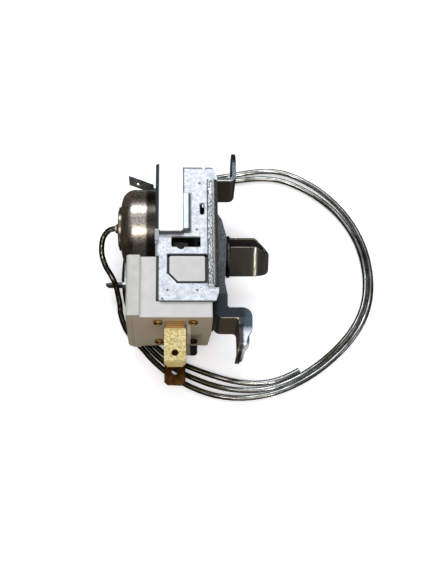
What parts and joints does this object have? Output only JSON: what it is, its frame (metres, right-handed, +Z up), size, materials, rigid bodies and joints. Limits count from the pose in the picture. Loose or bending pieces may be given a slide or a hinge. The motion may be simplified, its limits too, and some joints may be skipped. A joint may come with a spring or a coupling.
{
  "type": "refrigerator thermostat",
  "caption": "Refrigerator thermostat: sheet frame with a gas-filled cup and coiled capillary, a snap switch with push-on blades, and a folded shaft for a knob.",
  "frame": {"origin": "on the control shaft's axis, in the plane of the front plate's flat face", "axes": "+X out along the control shaft, +Y towards the screw ear, +Z up from the side wall that the thermostat lies on"},
  "size_m": [0.087, 0.0796, 0.0311],
  "materials": {
    "galvanised": "pale zinc spangle",
    "dark_steel": "dark bright-rolled steel",
    "spring_steel": "plain spring steel",
    "sintered": "sintered steel",
    "brass": "plain brass",
    "button_plastic": "cream moulding",
    "nickel": "spun and nickel plated",
    "bronze": "phosphor bronze",
    "capillary": "tinned copper tube",
    "white_plastic": "white moulding",
    "pale_strip": "pale blue-white strip",
    "grey_plastic": "warm pale grey moulding",
    "cover_plastic": "greenish grey moulding",
    "silver": "silver alloy"
  },
  "bodies": {
    "frame": {"main_frame": "galvanised", "front_plate": "dark_steel", "follower_pin": "spring_steel", "lever_pin": "spring_steel", "power_cup": "nickel", "cup_cap": "nickel", "diaphragm": "bronze", "ferrule": "capillary", "capillary_tube": "capillary", "capillary_clip": "dark_steel", "spring_cover": "white_plastic", "cover_clip": "pale_strip", "ground_tab": "dark_steel", "switch_base": "grey_plastic", "switch_cover": "cover_plastic", "terminal_near": "brass", "terminal_far": "brass", "terminal_eyelets": "brass", "fixed_contact": "silver"},
    "shaft": {"control_shaft": "dark_steel", "shaft_hub": "dark_steel", "shaft_ring": "spring_steel", "cam": "sintered", "cam_rivet": "spring_steel"},
    "follower": {"cam_follower": "galvanised", "range_screw": "brass", "range_nut": "brass", "range_spring": "spring_steel"},
    "lever": {"main_lever": "galvanised"},
    "pad": {"pressure_pad": "button_plastic"},
    "pin": {"push_pin": "button_plastic"},
    "blade": {"contact_blade": "bronze", "moving_contact": "silver", "toggle_spring": "spring_steel"}
  },
  "joints": [
    {"name": "shaft_turn", "type": "hinge", "parent": "frame", "child": "shaft", "pos_m": [0, 0, 0], "axis": [1, 0, 0], "range_deg": [-150, 150]},
    {"name": "follower_swing", "type": "hinge", "parent": "frame", "child": "follower", "pos_m": [-0.013, 0.02, 0], "axis": [0, 0, 1], "range_deg": [-3.9, 3.9], "deforming": ["range_spring"]},
    {"name": "lever_swing", "type": "hinge", "parent": "frame", "child": "lever", "pos_m": [-0.011, -0.0022, 0], "axis": [0, 0, -1], "range_deg": [0, 5]},
    {"name": "pad_slide", "type": "slide", "parent": "frame", "child": "pad", "axis": [1, 0, 0], "range_m": [0, 0.00102]},
    {"name": "pin_slide", "type": "slide", "parent": "frame", "child": "pin", "axis": [0, -1, 0], "range_m": [0, 0.00024]},
    {"name": "blade_swing", "type": "hinge", "parent": "frame", "child": "blade", "pos_m": [-0.0144, -0.012, 0], "axis": [0, 0, -1], "range_deg": [0, 2.2]}
  ],
  "couplings": [
    {"joint": "follower_swing", "follows": "shaft_turn", "ratio": -0.0255},
    {"joint": "pad_slide", "follows": "lever_swing", "m_per_rad": 0.01155},
    {"joint": "pin_slide", "follows": "lever_swing", "m_per_rad": 0.0026},
    {"joint": "blade_swing", "follows": "lever_swing", "ratio": 0.426}
  ]
}
